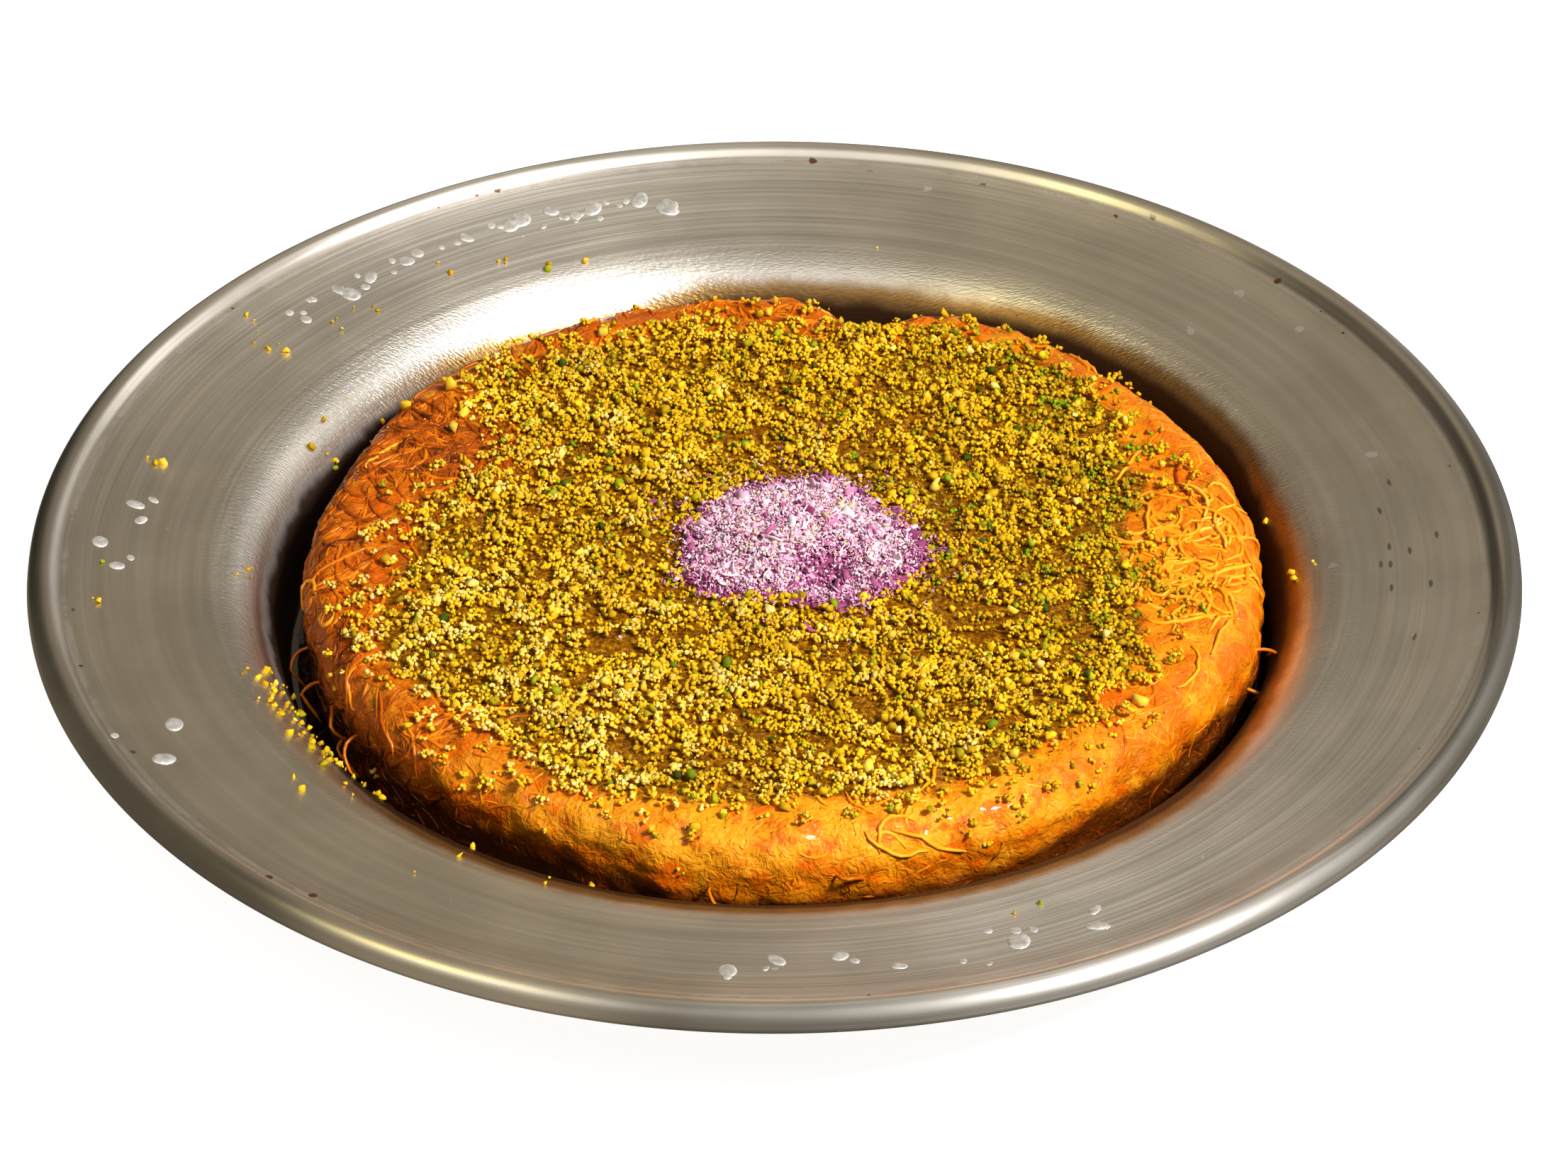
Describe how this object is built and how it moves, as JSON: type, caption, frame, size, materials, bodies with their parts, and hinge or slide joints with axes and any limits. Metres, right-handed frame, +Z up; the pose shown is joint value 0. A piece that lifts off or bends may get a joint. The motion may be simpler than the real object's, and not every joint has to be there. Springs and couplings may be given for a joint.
{
  "type": "kunafa",
  "caption": "Round cake of baked pastry shreds with ground pistachio and crushed rose petals, lying in a wide-rimmed steel dish.",
  "frame": {"origin": "centre of the dish's flat underside, on the surface that it stands on", "axes": "+Z up; +X to the right and +Y away from the viewer in the picture's view"},
  "size_m": [0.2, 0.2, 0.022],
  "materials": {
    "steel": "pressed sheet with fine circular grain, light scratches and a few dried spots",
    "baked_crust": "deep orange baked pastry, glossy with syrup, under ground green pistachio",
    "petals": "dry crushed petals from pale pink to dark magenta"
  },
  "bodies": {
    "root": {"dish": "steel", "kunafa": "baked_crust", "rose_petals": "petals"}
  },
  "joints": []
}
